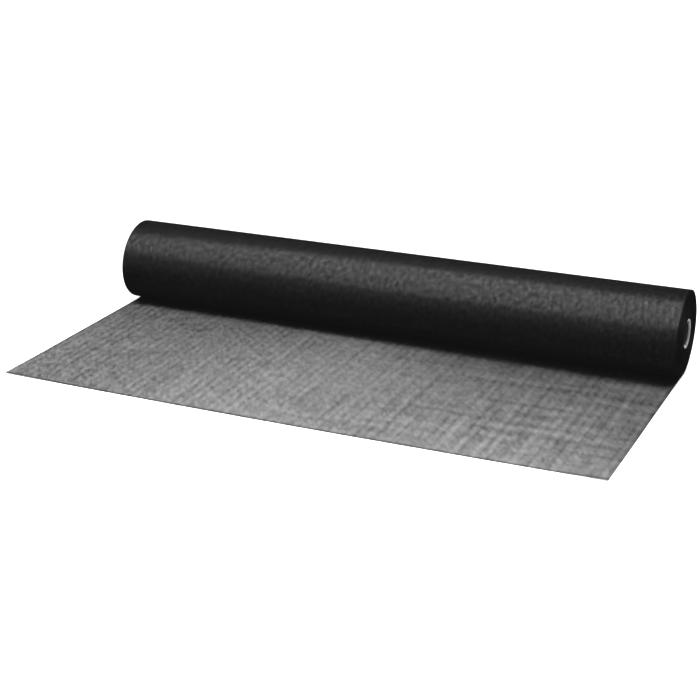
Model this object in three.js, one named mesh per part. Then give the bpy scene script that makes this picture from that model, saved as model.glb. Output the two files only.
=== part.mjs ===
// A roll of black solar screen mesh on a board core, with its free end drawn out flat in front of it.
// The roll lies along X and the free end runs towards -Y. Millimetres, +Z up, the floor at Z = 0.
import * as THREE from 'three'

// Driving dimensions
const clothWidth = 1219.2 // a 48 inch cloth
const looseLength = 524 // from the line where the cloth leaves the roll to its cut edge
const looseThickness = 1
const rollHeight = 171.9 // from the floor to the top of the roll, with the cloth that lies under it
const coreBore = 50.8 // a 2 inch core
const coreWall = 3.6

// How the cloth is wound
const innerShift = 3 // the inner turns have moved this far towards +X, so one end bulges and one is dished
const coreRecess = 1 // the core stops this far short of the bulge
const leftLean = 4 // the left end leans by this much between its middle and its top
const edgeRadius = 1.5 // the outer turn's soft edge
const flatDepth = 0.7 // how far the roll's weight flattens its lowest turn

// Fits and facets
const clearance = 0.3 // between pieces that lie on each other
const tailLength = 16 // the cloth still drawn as flat, behind the line where it leaves the roll
const looseStrips = 9 // the free end's faces, so that the strip at its cut edge has a face of its own
const rollFacets = 96
const coreFacets = 64
const edgeSteps = 4

const rollRadius = (rollHeight - looseThickness - clearance + flatDepth) / 2
const axisHeight = rollHeight - rollRadius
const coreRadius = coreBore / 2 + coreWall
const woundBore = coreRadius + clearance

const meshCloth = new THREE.MeshStandardMaterial({ color: 0x1c1c1d, roughness: 0.6, metalness: 0 })
const looseCloth = new THREE.MeshStandardMaterial({ color: 0x6e6e70, roughness: 0.7, metalness: 0 })
const greyBoard = new THREE.MeshStandardMaterial({ color: 0x9b9995, roughness: 0.9, metalness: 0 })

// A closed profile of (radius, place along X) points, turned around the X axis
function turnedAlongX(profile, facets) {
  const points = profile.map(([radius, along]) => new THREE.Vector2(radius, along))
  return new THREE.LatheGeometry([...points, points[0]], facets).rotateZ(-Math.PI / 2)
}

// The outer turn's edge at one end: a quarter circle from the end face to the roll's outside
function softEdge(side) {
  const steps = Array.from({ length: edgeSteps + 1 }, (_, i) => (i / edgeSteps) * (Math.PI / 2))
  const arc = steps.map((turn) => [
    rollRadius - edgeRadius * (1 - Math.sin(turn)),
    side * (clothWidth / 2 - edgeRadius * (1 - Math.cos(turn)))
  ])
  return side < 0 ? arc : arc.reverse()
}

// Every turn is as wide as the cloth, and the inner ones are pushed towards +X. The left end's cloth
// edges lean, and the lowest turn is pressed flat.
function woundMesh() {
  const halfWidth = clothWidth / 2
  const profile = [
    [woundBore, -halfWidth + innerShift],
    ...softEdge(-1),
    ...softEdge(1),
    [woundBore, halfWidth + innerShift]
  ]
  const geometry = turnedAlongX(profile, rollFacets)
  const place = geometry.attributes.position
  for (let i = 0; i < place.count; i++) {
    if (place.getX(i) < 0) place.setX(i, place.getX(i) + (leftLean * place.getZ(i)) / rollRadius)
    place.setZ(i, Math.max(place.getZ(i), flatDepth - rollRadius))
  }
  return new THREE.Mesh(geometry, meshCloth)
}

// A plain tube as long as the cloth is wide
function boardCore() {
  const rightEnd = clothWidth / 2 + innerShift - coreRecess
  const leftEnd = rightEnd - clothWidth
  const profile = [
    [coreBore / 2, leftEnd],
    [coreRadius, leftEnd],
    [coreRadius, rightEnd],
    [coreBore / 2, rightEnd]
  ]
  return new THREE.Mesh(turnedAlongX(profile, coreFacets), greyBoard)
}

// The free end, flat on the floor from just behind the roll's lowest line to its cut edge
function looseEnd() {
  const length = looseLength + tailLength
  const sheet = new THREE.BoxGeometry(clothWidth, length, looseThickness, 1, looseStrips, 1)
  return new THREE.Mesh(sheet, looseCloth)
}

function named(name, mesh, x, y, z) {
  mesh.name = name
  mesh.position.set(x, y, z)
  return mesh
}

const group = new THREE.Group()
group.add(named('wound_mesh', woundMesh(), 0, 0, axisHeight))
group.add(named('board_core', boardCore(), 0, 0, axisHeight))
group.add(named('loose_end', looseEnd(), 0, (tailLength - looseLength) / 2, looseThickness / 2))

// The origin is on the floor, under the middle of the whole part
const box = new THREE.Box3().setFromObject(group)
group.position.set(-(box.min.x + box.max.x) / 2, -(box.min.y + box.max.y) / 2, 0)

export default group
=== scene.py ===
"""A roll of black solar screen mesh on a board tube, its free end drawn out flat on a pale floor.

Metres, in the frame of the CAD model: the roll lies along X, the free end runs towards -Y, and the
floor is at Z = 0. A place on the cloth is two lengths: across it from its left edge, and along it from
its cut edge.
"""

import math

import bmesh
import bpy
import numpy as np
from mathutils import Matrix, Vector


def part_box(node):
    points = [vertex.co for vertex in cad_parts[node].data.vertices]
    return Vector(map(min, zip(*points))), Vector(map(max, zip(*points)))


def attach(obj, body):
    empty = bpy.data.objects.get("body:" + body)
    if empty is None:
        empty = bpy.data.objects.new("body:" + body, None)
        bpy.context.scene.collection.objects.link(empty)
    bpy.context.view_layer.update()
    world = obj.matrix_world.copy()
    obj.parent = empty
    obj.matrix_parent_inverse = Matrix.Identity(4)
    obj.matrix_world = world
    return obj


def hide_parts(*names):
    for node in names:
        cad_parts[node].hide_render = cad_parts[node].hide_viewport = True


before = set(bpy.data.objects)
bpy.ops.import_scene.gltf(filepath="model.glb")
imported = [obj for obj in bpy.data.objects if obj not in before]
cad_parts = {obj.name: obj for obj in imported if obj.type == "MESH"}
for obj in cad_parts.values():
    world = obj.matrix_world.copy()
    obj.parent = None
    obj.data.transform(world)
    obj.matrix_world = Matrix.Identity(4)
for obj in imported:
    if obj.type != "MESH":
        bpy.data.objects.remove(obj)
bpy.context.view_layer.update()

roll_low, roll_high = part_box("wound_mesh")
core_low, core_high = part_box("board_core")
loose_low, loose_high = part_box("loose_end")

# The roll and the cloth, from the frame
ROLL_RADIUS = (roll_high.y - roll_low.y) / 2
AXIS_Y = (roll_high.y + roll_low.y) / 2
AXIS_Z = roll_high.z - ROLL_RADIUS
CORE_RADIUS = (core_high.z - core_low.z) / 2
LEFT_EDGE = loose_low.x
RIGHT_EDGE = loose_high.x
CLOTH_WIDTH = RIGHT_EDGE - LEFT_EDGE
LOOSE_LENGTH = AXIS_Y - loose_low.y  # from the line where the cloth leaves the roll to its cut edge
INNER_SHIFT = roll_high.x - RIGHT_EDGE  # the inner turns have moved this far towards +X
LEFT_LEAN = LEFT_EDGE - roll_low.x  # the left end leans by this much between its middle and its top

# How the cloth is wound
WOUND_TURNS = 84  # under the outer one
CORE_GAP = 0.0003  # between the board tube and the innermost groove
OUTER_TURNS = 1.5  # the outer turn, and the half turn from the last crest to the innermost groove
TURN = (ROLL_RADIUS - CORE_RADIUS - CORE_GAP) / (WOUND_TURNS + OUTER_TURNS)  # from one turn to the next
CLOTH_THICKNESS = 0.82 * TURN  # the rest is the gap between two turns
GROOVE_DEPTH = 0.0009  # between the edges of two turns, at the ends
BAND_SHIFT = 0.0005  # the spread of how far a band of turns lies off, at the ends
BAND_TURNS = 4  # in a band
EDGE_WANDER = 0.0003  # the spread of how far one turn's edge wanders
WANDER_TURNS = 0.23  # from one wander to the next
LEVEL_TURNS = 6  # turns next to the tube, over which the shifts fade out
LEFT_SEED = 11  # of the left end's shifts
RIGHT_SEED = 12
ROUND_STEPS = 120  # facets in one turn
LONG_STEPS = 24  # facets along the roll
WELD = 1e-6  # points closer than this are one

# How the free end lies
FLAT_STEP = 0.008  # facets of the cloth, across and along
RIPPLE_HEIGHT = 0.0004
RIPPLES = (
    # strength, wave length across and along, start in radians
    (1.0, 0.43, 1.3, 0.0),
    (0.6, 0.19, -0.7, 1.3),
)
RIPPLE_FREE = 0.16  # the roll's weight holds the cloth flat over about this distance
CORNER_LIFT = 0.0016
CORNER_REACH = 0.08
CUT_BOW = 0.0058  # the cut edge bows out by this much in its middle

# The weave. Lumps are counted to the metre, across and along the cloth.
WARP_PITCH = 0.0254 / 17  # yarns along the cloth, 17 to the inch
WEFT_PITCH = 0.0254 / 14  # yarns across the cloth
YARN_SHARE = 0.36  # of the pitch
YARN_SOFTNESS = 0.3  # how much of the half pitch a yarn's fuzzy edge takes
YARN_ROUND = 0.00005  # how far a yarn's top stands over the holes
YARN_CRIMP = 0.00004  # how far it rises and falls over the yarns it crosses
SLACK_DEPTH = 0.00045  # of the soft lumps in which the cloth lies
SLACK_LUMPS = (95, 75, 1)
BARE_YARN = (0.0002, 0.0002, 0.0002, 1)
DUSTY_YARN = (0.0045, 0.0045, 0.0046, 1)
PATCH_LUMPS = (125, 90, 1)  # patches of dust and of thicker coating
PATCH_CONTRAST = 6
COAT_MEAN = 0.54
COAT_SPREAD = 1.65

# How much light the free end stops. A cover is a share of the light.
CLOTH_COVER = 0.7444
THREAD_COVER = 0.14  # how much more a yarn stops than the fuzz and coating in a hole
MEAN_THREAD = 0.55  # about this share of the cloth is yarn
GROUP_YARNS = 12  # warp yarns from one closer line along the cloth to the next
LINE_COVER = 0.0147  # of these lines
HALF_LINE_COVER = 0.0045  # of the fainter lines between them
LINE_BREAKS = 3  # how strongly the lines come and go
LINE_LUMPS = (25, 16, 1)
STREAK_COVER = 0.1  # of the streaks along the cloth, at the left edge
STREAK_GAIN = 0.07  # how much more they stop at the right edge
STREAK_LUMPS = (60, 3, 1)
BEAT_YARNS = 24  # weft yarns from one closer band across the cloth to the next
BAND_COVER = 0.0013  # of the bands, at the left edge
BAND_GAIN = 0.0104  # how much more they stop at the right edge
CROSSING_COVER = 0.17  # of the broken lines across the cloth, at the right edge
CROSSING_START = 1 / 6  # of the width, where they begin
CROSSING_LUMPS = (3, 36, 1)
SLOW_WAVES = (
    # strength, radians to the metre across and along, start in radians
    (0.034, 2.37, 1.71, 0.77),
    (0.0105, 9.8, -3.4, -1.42),
)
RIGHT_SHADE_COVER = 0.13  # painted shade by the roll on the right: cover added at the right edge, for each metre from the cut edge
CREASE_LEAN = -0.56  # radians by which the winding's creases and the grain lean
CREASE_COVER = 0.104
CREASE_LUMPS = (40, 22, 1)
GRAIN_COVER = 0.24
GRAIN_LOSS = 0.09  # how much less the grain stops at the right edge
GRAIN_LUMPS = (125, 50, 1)
SLANT_COVER = 0.013  # of the slanted lines
SLANT_MIDDLE = 0.34  # of the width, where they are strongest
SLANT_REACH = 0.2  # of the width, over which they fade out on both sides
SLANT_LINES = (30, 36)  # to the metre, across and along
SELVAGE_WIDTH = 0.008
SELVAGE_COVER = 0.043
DARK_EDGE_LENGTH = 0.008  # of the darker strip along the cut edge
DARK_EDGE_COVER = 0.085
EDGE_SOFTNESS = 0.001  # of the selvages and of the darker strip at the cut edge

# The board tube
CORE_BORE = 0.0508  # a 2 inch tube
RIM_ROUNDING = 0.0005
RIM_POINTS = 4  # in a quarter circle
RIM_WAVE = 0.0001
RIM_WAVES = (
    # strength, waves round the rim, start in radians
    (1.0, 3, 0.4),
    (0.6, 7, 0.0),
    (0.4, 16, 2.0),
)
RIM_REACH = 0.002  # the waves fade out this far from the ends
PLY_THICKNESS = 0.0006
PLY_CONTRAST = 6
PLY_LEAD = 0.24  # one turn of the ply seam
SEAM_WIDTH = 0.0008
FIBRE_LUMPS = (900, 300, 300)
BOARD_TONE = 0.3  # from dark to pale, before rings, seam and fibres add theirs
RING_TONE = 0.25
SEAM_TONE = 0.35
FIBRE_TONE = 0.5
RING_DEPTH = 0.0001
SEAM_DEPTH = 0.0003
FIBRE_DEPTH = 0.0002
BORE_SHADE = 0.5  # how much darker the board is inside the bore
BORE_SOFTNESS = 0.0003
DEEP_BORE_DARKENING = 0.95  # how much darker again deeper in the bore than CUT_DEPTH from the cut ends
CUT_DEPTH = 0.0032  # the bore is darker again beyond this depth from the cut ends
DEEP_BORE_SOFTNESS = 0.001
BOARD_DARK = (0.012, 0.012, 0.012, 1)
BOARD_PALE = (0.48, 0.47, 0.455, 1)

# The photograph's camera, fitted to the outlines of the roll and the free end. Degrees, and
# millimetres for the lens and the sensor.
CAMERA_PLACE = Vector((1.2189, -2.6534, 1.1435))
CAMERA_YAW = -24.706
CAMERA_PITCH = 20.774
CAMERA_ROLL = -0.401
CAMERA_LENS = 81.514
CAMERA_SENSOR = 36.0

# The studio. A long strip hangs over the free end, turned a little against the roll, and a lower one
# in front of its cut edge. The sun stands far behind the roll. Two round cards show only as glints.
STRIPS = (
    # name, place, turn in degrees against the roll, length, width, beam in degrees, power
    ("strip", Vector((-0.289, AXIS_Y - 0.294, 0.939)), 14.2, 2.5, 0.062, 124, 21.1),
    ("edge_strip", Vector((0, AXIS_Y - 0.746, 0.457)), 0, 1.9, 0.06, 100, 9.9),
)
SUN_HEIGHT = 42.6  # degrees above the floor
SUN_SPREAD = 59  # degrees
SUN_STRENGTH = 7.25
GLINT_CARDS = (
    # name, place, which way its back looks, size, power
    ("high_card", Vector((-0.15, -1.0, 1.74)), Vector((-0.3, -0.13, 0.945)), 3.5, 56),
    ("low_card", Vector((-1.2, -2.9, 0.55)), Vector((-0.39, -0.92, 0.1)), 3.0, 3.2),
)
CARD_BEAM = 150  # degrees
AIR_STRENGTH = 0.013  # of the light from all round
VEIL = 0.0048  # how much the lens lifts the picture's blacks
FLOOR_HALF = 40  # half the floor's side
FLOOR_COLOUR = (0.86, 0.86, 0.86, 1)


class Value:
    """A number or vector socket. Arithmetic on it adds Math nodes, with plain numbers on either side."""

    def __init__(self, nodes, socket):
        self.nodes = nodes
        self.socket = socket

    def maths(self, operation, *others):
        return self.nodes.add("ShaderNodeMath", {"operation": operation}, dict(enumerate((self, *others))))

    def vector_maths(self, operation, other):
        return self.nodes.add("ShaderNodeVectorMath", {"operation": operation}, {0: self, 1: other})

    def __add__(self, other):
        return self.maths("ADD", other)

    __radd__ = __add__

    def __mul__(self, other):
        return self.maths("MULTIPLY", other)

    __rmul__ = __mul__

    def __sub__(self, other):
        return self.maths("SUBTRACT", other)

    def __rsub__(self, other):
        return self * -1 + other

    def __truediv__(self, other):
        return self.maths("DIVIDE", other)

    def clamped(self):
        return self.maths("MAXIMUM", 0).maths("MINIMUM", 1)

    def parts(self):
        """The numbers of a vector."""
        split = self.nodes.add("ShaderNodeSeparateXYZ", {}, {0: self}).socket.node
        return [Value(self.nodes, socket) for socket in split.outputs]


class Nodes:
    """The node tree of a material or the world, and the one way to add a node to it."""

    def __init__(self, owner):
        owner.use_nodes = True
        self.tree = owner.node_tree

    def add(self, kind, settings, sockets, output=0):
        """Makes a node, sets it up, fills its sockets with values or links, and gives one output."""
        node = self.tree.nodes.new(kind)
        for name, setting in settings.items():
            setattr(node, name, setting)
        self.fill(node, sockets)
        return Value(self, node.outputs[output])

    def fill(self, node, sockets):
        for name, value in sockets.items():
            if isinstance(value, Value):
                self.tree.links.new(value.socket, node.inputs[name])
            else:
                node.inputs[name].default_value = value

    def finish(self, sockets):
        """Fills the sockets of the material's own shader."""
        self.fill(self.tree.nodes["Principled BSDF"], sockets)

    def mixed_colour(self, factor, low, high):
        """A colour between two, which are the node's sockets 6 and 7. Its output 2 is the colour."""
        sockets = {"Factor": factor, 6: low, 7: high}
        return self.add("ShaderNodeMix", {"data_type": "RGBA"}, sockets, output=2)

    def noise(self, place, stretch, detail=2.0):
        """Soft noise about 0, with one lump to a unit of the stretched place."""
        stretched = place.vector_maths("MULTIPLY", stretch)
        lumps = self.add("ShaderNodeTexNoise", {}, {"Vector": stretched, "Scale": 1.0, "Detail": detail})
        return lumps - 0.5


def grid_faces(rows, columns):
    """The quads of a grid of points that is numbered row by row."""
    first = np.arange(rows - 1)[:, None] * columns + np.arange(columns - 1)
    return np.stack([first, first + 1, first + columns + 1, first + columns], axis=-1).reshape(-1, 4)


def points(x, y, z):
    """Three arrays of any matching shapes as one array of points."""
    return np.stack(np.broadcast_arrays(x, y, z), axis=-1)


def made_object(name, patches, material, smooth):
    """One object of several patches. A patch is a grid of points and the grid of their places on the
    cloth. Points that two patches share are merged, so that the surface is closed along its seams."""
    corners, places, faces, count = [], [], [], 0
    for grid, place in patches:
        corners.append(grid.reshape(-1, 3))
        places.append(np.broadcast_to(place, grid.shape[:2] + (2,)).reshape(-1, 2))
        faces.append(grid_faces(*grid.shape[:2]) + count)
        count += len(corners[-1])
    faces = np.concatenate(faces)
    mesh = bpy.data.meshes.new(name)
    mesh.from_pydata(np.concatenate(corners), [], faces)
    layer = mesh.uv_layers.new(name="place")
    layer.data.foreach_set("uv", np.concatenate(places)[faces].astype(np.float32).ravel())
    welded = bmesh.new()
    welded.from_mesh(mesh)
    bmesh.ops.remove_doubles(welded, verts=welded.verts, dist=WELD)
    if len(patches) > 1:
        bmesh.ops.recalc_face_normals(welded, faces=welded.faces)
    welded.to_mesh(mesh)
    welded.free()
    mesh.polygons.foreach_set("use_smooth", np.full(len(mesh.polygons), smooth))
    mesh.materials.append(material)
    made = bpy.data.objects.new(name, mesh)
    bpy.context.collection.objects.link(made)
    return made


def smooth_step(t):
    """0 below 0, 1 above 1, and the cubic 3t^2 - 2t^3 between."""
    t = np.clip(t, 0, 1)
    return t * t * (3 - 2 * t)


def turn_radius(angle):
    """The spiral: the roll's radius less one turn's pitch for each whole angle gone round."""
    return ROLL_RADIUS - TURN * angle / (2 * np.pi)


def wound_length(angle):
    """How much cloth lies on the spiral up to an angle: the integral of its radius."""
    return ROLL_RADIUS * angle - TURN * angle**2 / (4 * np.pi)


def on_roll(angle, radius):
    """Y and Z at a radius of the roll. Angle 0 is its lowest line, and the cloth goes up its back."""
    return AXIS_Y + radius * np.sin(angle), AXIS_Z - radius * np.cos(angle)


def screen_cloth(material):
    """The free end and the outer turn as one sheet. Its path is the floor up to the roll's lowest
    line, and from there the spiral. Across, it runs straight from the left edge, which leans on the
    roll, to the right edge. Half a cosine over the width stretches the free end, so that its cut edge
    bows out in the middle. Two slow crossed sines ripple it and fade out towards the roll, and a bell
    lifts each of its corners."""
    flat = np.linspace(-LOOSE_LENGTH, 0, round(LOOSE_LENGTH / FLAT_STEP) + 1)
    angle = np.concatenate([np.zeros(len(flat) - 1), np.linspace(0, 2 * np.pi, ROUND_STEPS + 1)])[:, None]
    run = np.concatenate([flat, np.zeros(ROUND_STEPS)])[:, None]
    share = np.linspace(0, 1, round(CLOTH_WIDTH / FLAT_STEP) + 1)[None, :]

    lean = -LEFT_LEAN * np.cos(angle) * smooth_step(angle / (np.pi / 2))
    left = LEFT_EDGE + lean
    x = left + (RIGHT_EDGE - left) * share
    y, z = on_roll(angle, turn_radius(angle))
    y = y + run * (1 + CUT_BOW / LOOSE_LENGTH * np.cos(np.pi * (share - 0.5)))

    free = smooth_step(-run / RIPPLE_FREE)
    highest = sum(strength for strength, *_ in RIPPLES)
    ripple = sum(
        strength * np.sin(2 * np.pi * (x / wave_across + run / wave_along) + start)
        for strength, wave_across, wave_along, start in RIPPLES
    )
    from_corner = np.hypot(np.minimum(x - LEFT_EDGE, RIGHT_EDGE - x), run + LOOSE_LENGTH)
    lift = CORNER_LIFT * np.exp(-((from_corner / CORNER_REACH) ** 2))
    z = z + free * (RIPPLE_HEIGHT * (ripple + highest) / (2 * highest) + lift)

    along = LOOSE_LENGTH + run + wound_length(angle)
    place = np.stack(np.broadcast_arrays(share * CLOTH_WIDTH, along), axis=-1)
    cloth = made_object("screen_cloth", [(points(x, y, z), place)], material, smooth=True)
    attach(cloth, "root")
    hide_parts("loose_end")
    return cloth


def uneven_edge(turn, seed):
    """How far the cloth's edge lies off, at a count of turns: straight lines between normal random
    shifts, one for each band of turns, and between smaller ones, about four to a turn. Both fade out
    by the tube."""
    random = np.random.default_rng(seed)
    bands = np.arange(0, WOUND_TURNS + 2 * BAND_TURNS, BAND_TURNS)
    knots = np.arange(0, WOUND_TURNS + BAND_TURNS, WANDER_TURNS)
    shift = np.interp(turn, bands, random.normal(0, BAND_SHIFT, len(bands)))
    wander = np.interp(turn, knots, random.normal(0, EDGE_WANDER, len(knots)))
    return (shift + wander) * smooth_step((WOUND_TURNS - turn) / LEVEL_TURNS)


def wound_cloth(material):
    """The turns under the outer one. At each end the surface follows the spiral: a crest for the
    cloth's edge and a groove to the next turn inwards, which is the same spiral one turn on. The skin
    joins the outermost crests of the two ends, and the bore joins their innermost grooves. Both have
    a step one turn high, where the spiral starts or stops."""
    count = WOUND_TURNS * ROUND_STEPS + 1
    turn = np.arange(count) / ROUND_STEPS
    angle = 2 * np.pi * (turn + 1)
    middle = turn_radius(angle)
    inwards = (ROLL_RADIUS - middle) / (ROLL_RADIUS - CORE_RADIUS)
    length = LOOSE_LENGTH + wound_length(angle)

    def end(side, edge, seed):
        """The outer crest, inner crest and groove along one end, with the lowest turns pressed flat."""
        crest = edge + INNER_SHIFT * inwards + uneven_edge(turn, seed)
        if side < 0:
            crest = crest - LEFT_LEAN * middle / ROLL_RADIUS * np.cos(angle)
        rows = []
        for radius, depth in (
            (middle + CLOTH_THICKNESS / 2, 0),
            (middle - CLOTH_THICKNESS / 2, 0),
            (middle - TURN / 2, GROOVE_DEPTH),
        ):
            y, z = on_roll(angle, radius)
            rows.append(points(crest - side * depth, y, np.maximum(z, roll_low.z)))
        return np.stack(rows, axis=1)

    left, right = end(-1, LEFT_EDGE, LEFT_SEED), end(1, RIGHT_EDGE, RIGHT_SEED)
    last = count - ROUND_STEPS - 1
    patches = []
    for rows, across in ((left, 0.0), (right, CLOTH_WIDTH)):
        outer, inner, groove = rows[:, 0], rows[:, 1], rows[:, 2]
        place = np.stack([np.full(count, across), length], axis=-1)[:, None]
        patches.append((rows, place))
        # From each groove to the crest of the next turn inwards
        patches.append((np.stack([groove[: last + 1], outer[ROUND_STEPS:]], axis=1), place[: last + 1]))
        # The spiral's start and its stop
        patches.append((np.array([[outer[0], inner[0]], [outer[ROUND_STEPS], groove[0]]]), place[0]))
        patches.append((np.array([[groove[last], outer[-1]], [groove[-1], inner[-1]]]), place[-1]))

    share = np.linspace(0, 1, LONG_STEPS + 1)[:, None]

    def between(start, stop):
        """Straight lines along the roll, from points of the left end to points of the right end."""
        return start + (stop - start) * share[:, None]

    # The skin and its step from the outer crests, and the bore and its step from the grooves
    for line, row in ((slice(0, ROUND_STEPS + 1), 0), (slice(last, count), 2)):
        skin = between(left[line, row], right[line, row])
        across = np.broadcast_to(share * CLOTH_WIDTH, skin.shape[:2])
        place = np.stack([across, np.broadcast_to(length[line], skin.shape[:2])], axis=-1)
        patches.append((skin, place))
        patches.append((skin[:, [0, -1]], place[:, [0, -1]]))

    cloth = made_object("wound_cloth", patches, material, smooth=False)
    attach(cloth, "root")
    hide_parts("wound_mesh")
    return cloth


def core_tube(material):
    """The board tube: a closed profile of two walls and two rims, with quarter circles at its four
    corners, carried round the axis. A sum of sines round the axis makes the rims a little uneven."""
    bore = CORE_BORE / 2
    quarter = np.linspace(0, np.pi / 2, RIM_POINTS)
    rounding = np.stack([1 - np.cos(quarter), 1 - np.sin(quarter)], axis=-1) * RIM_ROUNDING
    stations = np.linspace(core_low.x + RIM_REACH, core_high.x - RIM_REACH, LONG_STEPS)
    outer = np.stack([stations, np.full(LONG_STEPS, CORE_RADIUS)], axis=-1)
    inner = np.stack([stations, np.full(LONG_STEPS, bore)], axis=-1)[::-1]
    profile = np.concatenate(
        [
            outer,
            [core_high.x, CORE_RADIUS] - rounding[::-1],
            [core_high.x, bore] + rounding * [-1, 1],
            inner,
            [core_low.x, bore] + rounding[::-1],
            [core_low.x, CORE_RADIUS] + rounding * [1, -1],
            outer[:1],
        ]
    )
    angle = np.linspace(0, 2 * np.pi, ROUND_STEPS + 1)[:, None]
    from_end = np.minimum(profile[:, 0] - core_low.x, core_high.x - profile[:, 0])
    at_end = smooth_step(1 - from_end / RIM_REACH)
    waves = sum(strength * np.sin(count * angle + start) for strength, count, start in RIM_WAVES)
    x = profile[:, 0] + RIM_WAVE * waves * at_end
    y, z = on_roll(angle, profile[:, 1])
    place = np.stack(np.broadcast_arrays(profile[:, 0], angle * CORE_RADIUS), axis=-1)
    patches = [(points(x, y, z), place)]
    tube = made_object("core_tube", patches, material, smooth=True)
    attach(tube, "root")
    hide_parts("board_core")
    return tube


def weave(across, along):
    """How much of a yarn lies at a place on the cloth, from 0 to 1, and how high its top is. A yarn
    takes its share of the pitch, with soft edges. Its top is a parabola, and goes over and under the
    yarns that it crosses, by the product of two cosines."""
    warp_place = across / WARP_PITCH
    weft_place = along / WEFT_PITCH
    from_warp = warp_place.maths("PINGPONG", 0.5) * 2
    from_weft = weft_place.maths("PINGPONG", 0.5) * 2
    warp = ((YARN_SHARE - from_warp) / YARN_SOFTNESS + 0.5).clamped()
    weft = ((YARN_SHARE - from_weft) / YARN_SOFTNESS + 0.5).clamped()
    over = (warp_place * math.pi).maths("COSINE") * (weft_place * math.pi).maths("COSINE") * YARN_CRIMP
    warp_top = warp * (YARN_ROUND - from_warp * from_warp * YARN_ROUND + over)
    weft_top = weft * (YARN_ROUND - from_weft * from_weft * YARN_ROUND - over)
    return warp.maths("MAXIMUM", weft), warp_top.maths("MAXIMUM", weft_top)


def lines_along(nodes, place, across, share):
    """Closer warp yarns: the cosine of a group of yarns and of half a group, both broken by noise,
    and long streaks of noise, which grow towards the right edge."""
    group = across * (2 * math.pi / (GROUP_YARNS * WARP_PITCH))
    broken = nodes.noise(place, LINE_LUMPS) * LINE_BREAKS + 1
    lines = group.maths("COSINE") * LINE_COVER + (group * 2).maths("COSINE") * HALF_LINE_COVER
    streaks = nodes.noise(place, STREAK_LUMPS, detail=3.0) * (share * STREAK_GAIN + STREAK_COVER)
    return lines * broken + streaks


def lines_across(nodes, place, along, share):
    """Closer weft yarns: the cosine of the beat, and broken lines of noise, stronger on the right."""
    beat = along * (2 * math.pi / (BEAT_YARNS * WEFT_PITCH))
    bands = beat.maths("COSINE") * (share * share * BAND_GAIN + BAND_COVER)
    right = ((share - CROSSING_START) / (1 - CROSSING_START)).clamped()
    return bands + nodes.noise(place, CROSSING_LUMPS) * right * CROSSING_COVER


def slanted_lines(nodes, place, across, along, share):
    """What the winding left: creases and a fine grain, both of noise turned by their lean, and
    slanted lines, a cosine that fades out on both sides of its middle."""
    leaning = nodes.add(
        "ShaderNodeVectorRotate", {"rotation_type": "Z_AXIS"}, {"Vector": place, "Angle": CREASE_LEAN}
    )
    creases = nodes.noise(leaning, CREASE_LUMPS, detail=1.0) * CREASE_COVER
    grain = nodes.noise(leaning, GRAIN_LUMPS) * (GRAIN_COVER - share * GRAIN_LOSS)
    near = (1 - ((share - SLANT_MIDDLE) / SLANT_REACH).maths("ABSOLUTE")).clamped()
    slant = (across * SLANT_LINES[0] + along * SLANT_LINES[1]) * (2 * math.pi)
    return creases + grain + slant.maths("COSINE") * near * SLANT_COVER


def broad_cover(across, along, share):
    """Broad differences: two slow slanted cosines, and painted shade on the right by the roll, as the
    square of the share of the width times the distance from the cut edge."""
    # painted shade: the cloth stops more light by the roll on the right
    cover = share * share * along * RIGHT_SHADE_COVER
    for strength, turn_across, turn_along, start in SLOW_WAVES:
        cover = cover + (across * turn_across + along * turn_along + start).maths("COSINE") * strength
    return cover


def edge_cover(across, along):
    """The selvages, and a darker strip along the cut edge."""
    edge = across.maths("MINIMUM", CLOTH_WIDTH - across)
    selvage = ((SELVAGE_WIDTH - edge) / EDGE_SOFTNESS).clamped() * SELVAGE_COVER
    dark_edge = ((DARK_EDGE_LENGTH - along) / EDGE_SOFTNESS).clamped() * DARK_EDGE_COVER
    return selvage + dark_edge


def mesh_finish(name, see_through):
    """Coated black yarn in a plain weave, which lies in soft lumps, with dust and coat in small
    patches. Where it is see-through, it stops more light on a yarn, where yarns lie closer, and as
    painted shade by the roll on the right."""
    nodes = Nodes(bpy.data.materials.new(name))
    place = nodes.add("ShaderNodeUVMap", {"uv_map": "place"}, {})
    across, along, _ = place.parts()
    thread, top = weave(across, along)
    height = top + nodes.noise(place, SLACK_LUMPS, detail=1.0) * SLACK_DEPTH
    normal = nodes.add("ShaderNodeBump", {}, {"Strength": 1.0, "Distance": 1.0, "Height": height})
    patches = nodes.noise(place, PATCH_LUMPS, detail=1.0)
    dust = thread * (patches * PATCH_CONTRAST + 0.5).clamped()
    nodes.finish(
        {
            "Base Color": nodes.mixed_colour(dust, BARE_YARN, DUSTY_YARN),
            "Roughness": 0.62,
            "Specular IOR Level": 0.28,
            "Coat Weight": (patches * COAT_SPREAD + COAT_MEAN).clamped(),
            "Coat Roughness": 0.26,
            "Normal": normal,
        }
    )
    if see_through:
        share = across / CLOTH_WIDTH
        cover = (thread - MEAN_THREAD) * THREAD_COVER + CLOTH_COVER
        cover = cover + lines_along(nodes, place, across, share) + lines_across(nodes, place, along, share)
        cover = cover + slanted_lines(nodes, place, across, along, share)
        cover = cover + broad_cover(across, along, share) + edge_cover(across, along)
        nodes.finish({"Alpha": cover})
    return bpy.data.materials[name]


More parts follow.
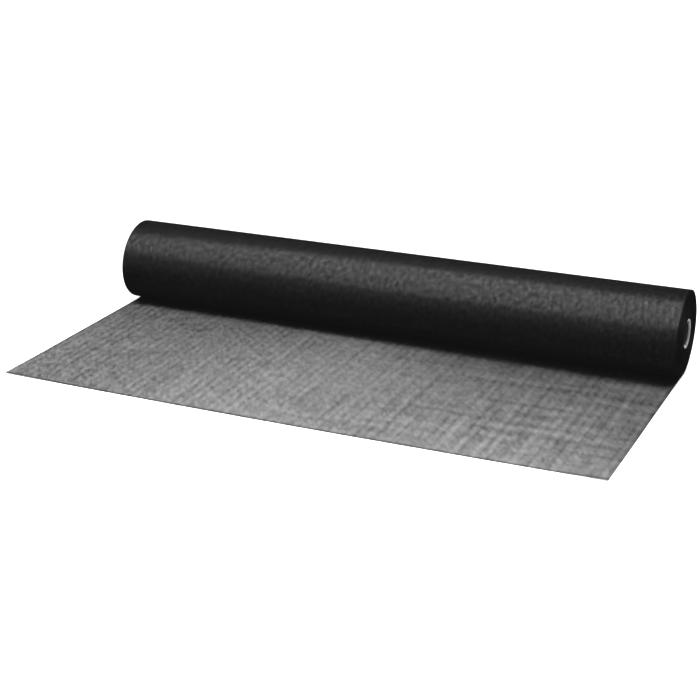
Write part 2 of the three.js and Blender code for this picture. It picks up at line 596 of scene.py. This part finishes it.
def board_finish():
    """Grey board: fine fibres, the plies as rings on the rims, and the plies' seam as a helix on the
    walls. The bore is darker, and nearly black beyond a few millimetres in from the cut ends."""
    nodes = Nodes(bpy.data.materials.new("grey_board"))
    place = nodes.add("ShaderNodeTexCoord", {}, {}, output=3)
    x, y, z = place.parts()
    y, z = y - AXIS_Y, z - AXIS_Z
    radius = (y * y + z * z).maths("SQRT")
    turned = z.maths("ARCTAN2", y) / (2 * math.pi)
    ring = ((radius / PLY_THICKNESS).maths("PINGPONG", 0.5) * PLY_CONTRAST).clamped()
    seam = ((x / PLY_LEAD - turned).maths("PINGPONG", 0.5) * PLY_LEAD / SEAM_WIDTH).clamped()
    fibres = nodes.noise(place, FIBRE_LUMPS, detail=4.0)
    depth = (x - core_low.x).maths("MINIMUM", core_high.x - x)
    in_bore = ((CORE_BORE / 2 + RIM_ROUNDING - radius) / BORE_SOFTNESS).clamped()
    deep_in_bore = in_bore * ((depth - CUT_DEPTH) / DEEP_BORE_SOFTNESS).clamped()
    bare = ring * RING_TONE + seam * SEAM_TONE + fibres * FIBRE_TONE + BOARD_TONE
    tone = bare * (1 - in_bore * BORE_SHADE) * (1 - deep_in_bore * DEEP_BORE_DARKENING)
    shade = nodes.mixed_colour(tone.clamped(), BOARD_DARK, BOARD_PALE)
    height = ring * RING_DEPTH + seam * SEAM_DEPTH + fibres * FIBRE_DEPTH
    normal = nodes.add("ShaderNodeBump", {}, {"Strength": 0.8, "Distance": 1.0, "Height": height})
    nodes.finish({"Base Color": shade, "Roughness": 0.85, "Normal": normal})
    return bpy.data.materials["grey_board"]


def pale_floor():
    """A plain pale floor, far larger than the view."""
    material = bpy.data.materials.new("pale_floor")
    nodes = Nodes(material)
    nodes.finish({"Base Color": FLOOR_COLOUR, "Roughness": 0.9})
    side = np.array([-FLOOR_HALF, FLOOR_HALF])
    corners = points(side[None, :], side[:, None], 0.0)
    floor = made_object("floor", [(corners, np.zeros(2))], material, smooth=False)
    floor.visible_glossy = False


def studio_air():
    """Even, dim light from all round; the camera sees it as the same white as the floor."""
    world = bpy.data.worlds.new("studio_air")
    bpy.context.scene.world = world
    nodes = Nodes(world)
    seen = nodes.add("ShaderNodeLightPath", {}, {})
    strength = seen * (1 - AIR_STRENGTH) + AIR_STRENGTH
    nodes.fill(nodes.tree.nodes["Background"], {"Color": (1, 1, 1, 1), "Strength": strength})


def hung(name, light, place, back):
    """Puts a light at a place, so that it shines away from where its back looks."""
    holder = bpy.data.objects.new(name, light)
    holder.location = place
    holder.rotation_euler = back.to_track_quat("Z", "Y").to_euler()
    holder.visible_camera = False
    bpy.context.collection.objects.link(holder)
    return holder


def strip_lamp(name, place, turn, length, width, beam, power):
    """A long narrow lamp that shines straight down."""
    light = bpy.data.lights.new(name, "AREA")
    light.shape = "RECTANGLE"
    light.size = length
    light.size_y = width
    light.spread = math.radians(beam)
    light.energy = power
    holder = hung(name, light, place, Vector((0, 0, 1)))
    holder.rotation_euler = (0, 0, math.radians(turn))
    holder.visible_glossy = False


def low_sun():
    """A broad, soft sun behind the roll."""
    light = bpy.data.lights.new("sun", "SUN")
    light.angle = math.radians(SUN_SPREAD)
    light.energy = SUN_STRENGTH
    height = math.radians(SUN_HEIGHT)
    holder = hung("sun", light, Vector((0, 0, 0)), Vector((0, math.cos(height), math.sin(height))))
    holder.visible_glossy = False


def glint_card(name, place, back, size, power):
    """A round card that shows only as a glint."""
    light = bpy.data.lights.new(name, "AREA")
    light.shape = "DISK"
    light.size = size
    light.spread = math.radians(CARD_BEAM)
    light.energy = power
    holder = hung(name, light, place, back)
    holder.visible_diffuse = False


def photo_camera():
    """The camera's axes: forwards by yaw and pitch, right level with the floor, and both then rolled."""
    yaw, pitch, roll = (math.radians(a) for a in (CAMERA_YAW, CAMERA_PITCH, CAMERA_ROLL))
    forwards = Vector((math.sin(yaw) * math.cos(pitch), math.cos(yaw) * math.cos(pitch), -math.sin(pitch)))
    level = Vector((math.cos(yaw), -math.sin(yaw), 0))
    upright = level.cross(forwards)
    right = math.cos(roll) * level + math.sin(roll) * upright
    up = math.cos(roll) * upright - math.sin(roll) * level
    camera = bpy.data.cameras.new("camera")
    camera.sensor_fit = "HORIZONTAL"
    camera.sensor_width = CAMERA_SENSOR
    camera.lens = CAMERA_LENS
    holder = bpy.data.objects.new("camera", camera)
    turned = Matrix((right, up, -forwards)).transposed().to_4x4()
    holder.matrix_world = Matrix.Translation(CAMERA_PLACE) @ turned
    bpy.context.collection.objects.link(holder)
    bpy.context.scene.camera = holder


def picture():
    """Plain tones, with the blacks lifted as in the photograph."""
    view = bpy.context.scene.view_settings
    view.view_transform = "Standard"
    view.use_curve_mapping = True
    view.curve_mapping.black_level = (-VEIL, -VEIL, -VEIL)
    view.curve_mapping.update()


photo_camera()
wound = wound_cloth(mesh_finish("wound_screen_mesh", see_through=False))
cloth = screen_cloth(mesh_finish("open_screen_mesh", see_through=True))
core_tube(board_finish())
pale_floor()
studio_air()
for lamp in STRIPS:
    strip_lamp(*lamp)
low_sun()
for card in GLINT_CARDS:
    glint_card(*card)
picture()
